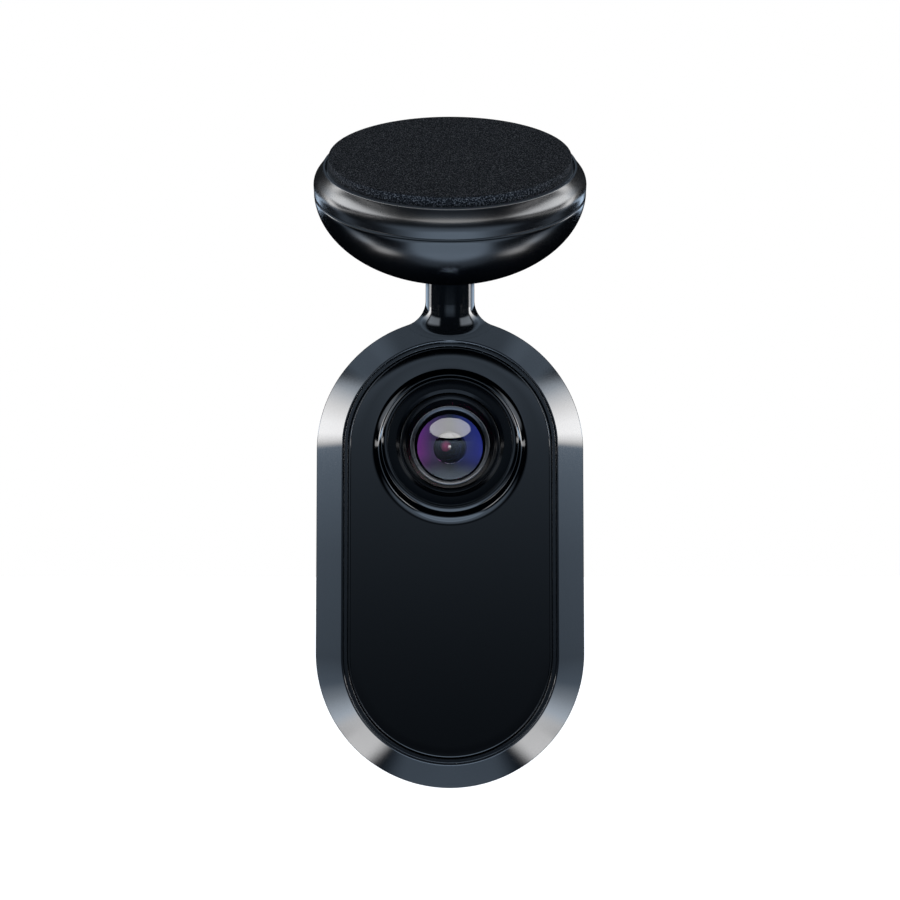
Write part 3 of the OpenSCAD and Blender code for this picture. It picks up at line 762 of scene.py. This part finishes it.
def rear_glass():
    """Third element, of clear glass."""
    ball_r, rim_r, front, back = 7.0, 3.55, 5.1, 8.7
    angles = np.linspace(0, math.asin(rim_r / ball_r), 24)
    face = [(ball_r * math.sin(a), front + ball_r * (1 - math.cos(a))) for a in angles]
    rear = [(ball_r * math.sin(a), back - ball_r * (1 - math.cos(a))) for a in angles[::-1]]
    lens_piece("rear_glass", face + rear, CLEAR, "rear_lens", False)


def glass_look(name, tint, weight, refracts=False, ior=1.52):
    """Glass whose surface mirrors by the given amount: a number, or None for plain uncoated glass.
    The tint is a colour or (position, colour) stops across the lens."""
    paint = Paint(name, (1.0, 1.0, 1.0), 0.0, ior=ior)
    paint.set("Transmission Weight", 1.0)
    through = paint.shader if refracts else paint.node("ShaderNodeBsdfTransparent")
    mirror = paint.node("ShaderNodeBsdfGlossy")
    wear = paint.spread(paint.grain(3, 4), 0.008, 0.02)
    paint.links.new(wear, mirror.inputs["Roughness"])
    if isinstance(tint[0], tuple):
        paint.links.new(across_lens(paint, tint), mirror.inputs["Color"])
    else:
        mirror.inputs["Color"].default_value = (*tint, 1)
    mixed = paint.node("ShaderNodeMixShader")
    if weight is None:
        fresnel = paint.node("ShaderNodeFresnel")
        fresnel.inputs["IOR"].default_value = 1.52
        paint.links.new(fresnel.outputs["Fac"], mixed.inputs["Fac"])
    else:
        mixed.inputs["Fac"].default_value = weight
    paint.links.new(through.outputs["BSDF"], mixed.inputs[1])
    paint.links.new(mirror.outputs["BSDF"], mixed.inputs[2])
    paint.links.new(mixed.outputs["Shader"], paint.nodes["Material Output"].inputs["Surface"])
    return paint.material


def across_lens(paint, stops, half_width=3.4):
    """Colours from left to right across the lens."""
    sides = paint.node("ShaderNodeSeparateXYZ")
    paint.links.new(paint.place, sides.inputs["Vector"])
    ramp = paint.node("ShaderNodeValToRGB")
    fill_ramp(ramp, stops)
    half = half_width * MM
    paint.links.new(paint.spread(sides.outputs["X"], 0, 1, -half, half), ramp.inputs["Fac"])
    return ramp.outputs["Color"]


def land_material():
    """Painted back rim of the front element, with a painted reflection of the coating on it, purple on the
    left and blue on the right, fading to dark towards the bottom.
    """
    paint = Paint("land_painted_reflection", (0.03, 0.04, 0.06), 0.35)
    # Painted reflection of the coating: purple on the left, dark in the middle, blue on the right.
    tint = across_lens(paint, [(0.02, (0.34, 0.06, 0.42)), (0.24, (0.10, 0.05, 0.17)),
                               (0.5, (0.020, 0.028, 0.046)), (0.70, (0.035, 0.05, 0.24)),
                               (0.98, (0.05, 0.07, 0.52))], 4.4)
    height = paint.node("ShaderNodeSeparateXYZ")
    paint.links.new(paint.place, height.inputs["Vector"])
    middle = LENS.z * MM
    # The painted reflection fades to plain dark towards the bottom of the rim.
    low = paint.spread(height.outputs["Z"], 0, 1, middle - 3.4 * MM, middle - 0.8 * MM)
    mix = paint.node("ShaderNodeMix", data_type="RGBA")
    mix.inputs["A"].default_value = (0.016, 0.021, 0.030, 1)
    paint.links.new(tint, mix.inputs["B"])
    paint.links.new(low, mix.inputs["Factor"])
    paint.links.new(mix.outputs["Result"], paint.shader.inputs["Base Color"])
    paint.vary_roughness(paint.grain(0.4, 3), 0.30, 0.42)
    paint.set("Specular IOR Level", 0.2)
    return paint.material


def deep_material():
    """What shows through the stop, painted on an opaque element: near black as painted shade for the deep
    inside of the lens, faint painted rings of light on the edges of the parts behind, a painted
    purple-to-blue reflection of the coating and a painted magenta highlight left of the middle.
    """
    paint = Paint("deep_glass", (0.0015, 0.0015, 0.003), 0.04, ior=1.52)
    flat = paint.node("ShaderNodeVectorMath", operation="MULTIPLY_ADD")
    paint.links.new(paint.place, flat.inputs[0])
    flat.inputs[1].default_value = (1, 0, 1)
    flat.inputs[2].default_value = (0, 0, -LENS.z * MM)
    out = paint.node("ShaderNodeVectorMath", operation="LENGTH")
    paint.links.new(flat.outputs["Vector"], out.inputs[0])
    # Painted rings of light where the edges of the parts behind would catch it; black between them as
    # painted shade.
    rings = paint.node("ShaderNodeValToRGB")
    levels = [(0.0, 0.0), (0.36, 0.0), (0.39, 0.10), (0.42, 0.01), (0.57, 0.02), (0.60, 0.12), (0.63, 0.02),
              (0.84, 0.03), (0.88, 0.22), (0.92, 0.05), (1.0, 0.02)]
    fill_ramp(rings, [(position, (level, level, level)) for position, level in levels])
    paint.links.new(paint.spread(out.outputs["Value"], 0, 1, 0, 2.2 * MM), rings.inputs["Fac"])
    # Painted reflection of the coating: purple on the left, blue on the right.
    tint = across_lens(paint, [(0.0, (0.10, 0.02, 0.07)), (0.35, (0.04, 0.02, 0.05)),
                               (0.55, (0.06, 0.09, 0.30)), (1.0, (0.16, 0.24, 0.90))], 2.2)
    shine = paint.node("ShaderNodeMix", data_type="RGBA", blend_type="MULTIPLY")
    shine.inputs["Factor"].default_value = 1.0
    paint.links.new(rings.outputs["Color"], shine.inputs["A"])
    paint.links.new(tint, shine.inputs["B"])
    # Painted magenta highlight a little left of and above the middle.
    spot = paint.node("ShaderNodeVectorMath", operation="DISTANCE")
    paint.links.new(flat.outputs["Vector"], spot.inputs[0])
    spot.inputs[1].default_value = (-0.55 * MM, 0, 0.35 * MM)
    painted_magenta_highlight = paint.node("ShaderNodeMix", data_type="RGBA")
    painted_magenta_highlight.inputs["B"].default_value = (0.70, 0.08, 0.26, 1)
    paint.links.new(shine.outputs["Result"], painted_magenta_highlight.inputs["A"])
    paint.links.new(paint.spread(spot.outputs["Value"], 0.8, 0, 0.10 * MM, 0.75 * MM), painted_magenta_highlight.inputs["Factor"])
    paint.links.new(painted_magenta_highlight.outputs["Result"], paint.shader.inputs["Base Color"])
    paint.vary_roughness(paint.grain(0.6, 3), 0.03, 0.05)
    paint.set("Specular IOR Level", 0.15)
    return paint.material


PURPLE_TO_BLUE = [(0.15, (0.90, 0.10, 0.75)), (0.5, (0.30, 0.32, 0.60)), (0.85, (0.08, 0.14, 1.0))]
CLEAR = glass_look("clear_glass", (1.0, 1.0, 1.0), None)
FRONT_GLASS = glass_look("front_element", (1.0, 1.0, 1.0), 0.0, True)
COATED = glass_look("coated_glass", PURPLE_TO_BLUE, 0.004, True, 1.15)
LAND = land_material()

INNER_LOOKS = {
    "pad_carrier": DULL_PLASTIC, "mount_screws": STEEL, "disc_spring": STEEL, "ball_cup": DULL_PLASTIC,
    "pressure_cup": DULL_PLASTIC, "ball_stud": STEEL, "stud_nut": STEEL, "friction_washer": STEEL,
    "rear_seal": SEAL_RUBBER, "housing_screws": STEEL, "lens_spacer": BARREL_BLACK,
    "lens_holder": DULL_PLASTIC, "ir_filter": COATED,
    "image_sensor": DULL_PLASTIC, "sensor_board": BOARD, "sensor_screws": STEEL, "flex_cable": AMBER,
    "heat_spreader": ALLOY, "thermal_pad": PAD_BLUE, "main_board": BOARD, "board_screws": STEEL,
    "processor": DULL_PLASTIC, "memory_chips": DULL_PLASTIC, "shield_can": TINNED,
    "radio_module": DULL_PLASTIC, "gps_antenna": CERAMIC, "battery_cell": CELL, "speaker": DULL_PLASTIC,
    "microphone": GOLD, "usb_c_shell": TINNED, "usb_c_tongue": DULL_PLASTIC, "card_socket": TINNED,
    "memory_card": DULL_PLASTIC, "button_switch": TINNED, "power_switch": TINNED,
    "status_led": CLEAR, "light_pipe": PIPE_WHITE,
}


def finish_inner_nodes():
    for node, material in INNER_LOOKS.items():
        obj = frame["nodes"][node]
        obj.data.materials.clear()
        obj.data.materials.append(material)


def keep_out_of_reflections():
    """Neighbouring parts of the product don't shade each other's reflections of the soft boxes."""
    seen = ("stop_ring", "inner_glass", "rear_glass")
    for obj in bpy.data.objects:
        if obj.type == "MESH" and obj.name not in seen:
            obj.visible_glossy = False


# ---- Studio -----------------------------------------------------------------

def floor():
    size, below = 4.0, 0.06
    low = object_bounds()[0][2] - below
    mesh = bpy.data.meshes.new("floor")
    corners = [(-size, -size, low), (size, -size, low), (size, size, low), (-size, size, low)]
    mesh.from_pydata(corners, [], [(0, 1, 2, 3)])
    obj = bpy.data.objects.new("floor", mesh)
    bpy.context.scene.collection.objects.link(obj)
    paint = Paint("pale_floor", (0.86, 0.86, 0.86), 0.8)
    paint.set("Emission Color", (1, 1, 1, 1))
    paint.set("Emission Strength", 0.75)
    mesh.materials.append(paint.material)
    obj.visible_glossy = False
    obj.visible_diffuse = False
    obj.visible_transmission = False
    obj.visible_shadow = False
    obj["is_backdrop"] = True


class Studio:
    """World light made of soft boxes, each a patch of the sky given by its azimuth and elevation in degrees.
    Azimuth 0 is in front of the lens and 180 behind; both sides are alike."""

    def __init__(self):
        world = bpy.data.worlds.new("studio")
        bpy.context.scene.world = world
        world.use_nodes = True
        self.nodes, self.links = world.node_tree.nodes, world.node_tree.links
        self.background = self.nodes["Background"]
        way = self.nodes.new("ShaderNodeSeparateXYZ")
        self.direction = self.nodes.new("ShaderNodeTexCoord").outputs["Generated"]
        self.links.new(self.direction, way.inputs["Vector"])
        x, y, z = way.outputs
        self.elevation = self.degrees(self.maths("ARCSINE", z))
        sideways = self.maths("ABSOLUTE", x)
        forward = self.maths("MULTIPLY", y, -1.0)
        self.azimuth = self.degrees(self.maths("ARCTAN2", sideways, forward))
        self.total = None

    def maths(self, operation, *values):
        made = self.nodes.new("ShaderNodeMath")
        made.operation = operation
        for socket, value in zip(made.inputs, values):
            if isinstance(value, (int, float)):
                socket.default_value = value
            else:
                self.links.new(value, socket)
        return made.outputs[0]

    def degrees(self, value):
        return self.maths("MULTIPLY", value, 180 / math.pi)

    def step(self, value, start, end):
        """0 before start and 1 after end, smoothly."""
        made = self.nodes.new("ShaderNodeMapRange")
        made.interpolation_type = "SMOOTHSTEP"
        low, high = min(start, end), max(start, end)
        made.inputs["From Min"].default_value = low
        made.inputs["From Max"].default_value = high
        made.inputs["To Min"].default_value = 0 if start < end else 1
        made.inputs["To Max"].default_value = 1 if start < end else 0
        self.links.new(value, made.inputs["Value"])
        return made.outputs["Result"]

    def band(self, value, edges):
        """A patch from edges[0] to edges[3], full between edges[1] and edges[2]."""
        rise = self.step(value, edges[0], edges[1])
        fall = self.step(value, edges[3], edges[2])
        return self.maths("MULTIPLY", rise, fall)

    def add(self, light, tint):
        scaled = self.nodes.new("ShaderNodeVectorMath")
        scaled.operation = "SCALE"
        scaled.inputs[0].default_value = tint
        self.links.new(light, scaled.inputs["Scale"])
        self.join(scaled.outputs["Vector"])

    def join(self, light):
        if self.total is None:
            self.total = light
            return
        summed = self.nodes.new("ShaderNodeVectorMath")
        self.links.new(self.total, summed.inputs[0])
        self.links.new(light, summed.inputs[1])
        self.total = summed.outputs["Vector"]

    def box(self, azimuths, elevations, strength, tint):
        sideways = self.band(self.azimuth, azimuths)
        upright = self.band(self.elevation, elevations)
        mask = self.maths("MULTIPLY", sideways, upright)
        self.add(self.maths("MULTIPLY", mask, strength), tint)

    def disc(self, centre, inner, outer, strength, tint):
        """A round patch about the direction centre, full within inner degrees and gone beyond outer."""
        dot = self.nodes.new("ShaderNodeVectorMath")
        dot.operation = "DOT_PRODUCT"
        dot.inputs[1].default_value = Vector(centre).normalized()
        self.links.new(self.direction, dot.inputs[0])
        angle = self.degrees(self.maths("ARCCOSINE", dot.outputs["Value"]))
        self.add(self.maths("MULTIPLY", self.step(angle, outer, inner), strength), tint)

    def wall(self, azimuths, levels):
        """A wall of light whose strength and tint follow (elevation, strength, tint) steps."""
        ramp = self.nodes.new("ShaderNodeValToRGB")
        fill_ramp(ramp, [((elevation + 90) / 180, [strength * c for c in tint])
                         for elevation, strength, tint in levels])
        height = self.maths("DIVIDE", self.maths("ADD", self.elevation, 90.0), 180.0)
        self.links.new(height, ramp.inputs["Fac"])
        scaled = self.nodes.new("ShaderNodeVectorMath")
        scaled.operation = "SCALE"
        self.links.new(ramp.outputs["Color"], scaled.inputs[0])
        self.links.new(self.band(self.azimuth, azimuths), scaled.inputs["Scale"])
        self.join(scaled.outputs["Vector"])

    def front_card(self, level, fold, most, azimuths, tint):
        """A card behind the camera that gets brighter upwards, by a factor e every fold degrees."""
        rise = self.maths("EXPONENT", self.maths("DIVIDE", self.elevation, fold))
        light = self.maths("MINIMUM", self.maths("MULTIPLY", rise, level), most)
        light = self.maths("MULTIPLY", light, self.step(self.elevation, 12.4, 11.0))
        self.add(self.maths("MULTIPLY", light, self.band(self.azimuth, azimuths)), tint)

    def close(self, sky):
        seen = self.nodes.new("ShaderNodeLightPath").outputs["Is Camera Ray"]
        mix = self.nodes.new("ShaderNodeMix")
        mix.data_type = "RGBA"
        self.links.new(seen, mix.inputs["Factor"])
        self.links.new(self.total, mix.inputs["A"])
        mix.inputs["B"].default_value = sky
        self.links.new(mix.outputs["Result"], self.background.inputs["Color"])


def studio():
    made = Studio()
    cool, pale, white = (0.78, 1.0, 1.28), (0.90, 1.0, 1.12), (1.0, 1.0, 1.01)
    made.front_card(0.30, 9.0, 1.2, (-1, 0, 10, 32), cool)
    made.box((40, 52, 90, 98), (16, 24, 40, 52), 2.0, pale)               # high side soft boxes
    made.wall((98, 102, 113, 116), [                                      # tall side soft boxes
        (-6, 0.44, cool), (0, 0.60, cool), (4, 0.95, cool), (5.8, 1.3, cool), (7.2, 4.0, white),
        (9, 6.6, white), (12, 9.0, white), (17, 8.6, white), (24, 6.3, white), (33, 3.0, pale),
        (43, 0.8, cool), (52, 0.3, cool)])
    made.wall((109, 113, 123, 128), [                                     # low side soft boxes
        (-58, 0.0, cool), (-54, 2.6, white), (-49, 4.5, white), (-41, 4.3, white), (-36, 0.0, pale)])
    made.wall((104.5, 107.5, 115, 119), [                                 # faint light up to the tall boxes
        (-41, 0.0, white), (-36, 3.8, white), (-32, 3.1, pale), (-24, 1.2, pale), (-18, 0.25, cool),
        (-10, 0.10, cool), (-6, 0.0, cool)])
    made.box((108, 114, 128, 142), (36, 42, 50, 60), 0.55, cool)          # high card behind each side
    made.box((116, 120, 150, 157), (8.5, 10, 13, 14.5), 2.6, cool)        # strip behind each side
    made.box((92, 112, 180, 181), (48, 58, 90, 91), 0.34, cool)           # ceiling
    made.box((46, 56, 98, 104), (5.2, 6.2, 8.8, 10.0), 5.0, white)        # strips beside the camera
    made.box((-1, 0, 180, 181), (-91, -90, -62, -54), 0.42, cool)         # floor
    made.box((-1, 0, 50, 80), (-64, -52, -36, -12), 1.5, cool)            # low card in front
    made.disc((0, -0.22, -0.975), 24, 33, 2.1, cool)                      # card below
    made.close((1, 1, 1, 1))


def linked_lamp(name, azimuth, elevation, width, height, radiance, lit):
    """Oval soft box half a metre from the lens that lights the named pieces only. Angles in degrees."""
    light = bpy.data.lights.new(name, "AREA")
    light.shape = "ELLIPSE"
    light.size = math.tan(math.radians(width / 2))
    light.size_y = math.tan(math.radians(height / 2))
    light.energy = radiance * math.pi * math.pi / 4 * light.size * light.size_y
    side, rise = math.radians(azimuth), math.radians(elevation)
    way = Vector((math.sin(side) * math.cos(rise), -math.cos(side) * math.cos(rise), math.sin(rise)))
    obj = bpy.data.objects.new(name, light)
    obj.location = LENS * MM + way * 0.5
    obj.rotation_euler = way.to_track_quat("Z", "Y").to_euler()
    obj.visible_camera = False
    bpy.context.scene.collection.objects.link(obj)
    receivers = bpy.data.collections.new("lit_by_" + name)
    for piece_name in lit:
        receivers.objects.link(bpy.data.objects[piece_name])
    obj.light_linking.receiver_collection = receivers


def lamps():
    linked_lamp("lens_lamp", 0, 27.5, 47, 25.5, 6.6, ("front_glass", "clamp_ring"))
    linked_lamp("inner_lamp", 0, 27.5, 42, 24, 19, ("inner_glass",))
    linked_lamp("sparkle_lamp", 0, 5.2, 2.6, 2.2, 14, ("front_glass", "inner_glass"))
    linked_lamp("collar_lamp", 0, 38, 58, 46, 6.0, ("collar_ring",))
    for side, name in ((-1, "left"), (1, "right")):
        linked_lamp(name + "_collar_lamp", side * 66, 39, 60, 33, 8.0, ("collar_ring",))


def camera():
    """The view from in front of the body's middle, tilted up a little."""
    distance, focal, rise, tilt = 0.160, 46.5, 0.0545, math.radians(2.56)
    data = bpy.data.cameras.new("camera")
    data.lens = focal
    data.sensor_width = 36
    data.shift_y = rise
    data.clip_start = 0.01
    obj = bpy.data.objects.new("camera", data)
    obj.location = MIDDLE * MM - Y * distance
    obj.rotation_euler = (math.pi / 2 + tilt, 0, 0)
    bpy.context.scene.collection.objects.link(obj)
    bpy.context.scene.camera = obj
    bpy.context.scene.view_settings.view_transform = "Standard"


camera()
adhesive_foam()
collar_ring()
dome_bowl()
front_case()
back_case()
back_button()
side_button()
front_plate()
plate_frame()
lens_parts()
front_glass()
stop_ring()
inner_glass()
rear_glass()
finish_inner_nodes()
keep_out_of_reflections()
floor()
studio()
lamps()
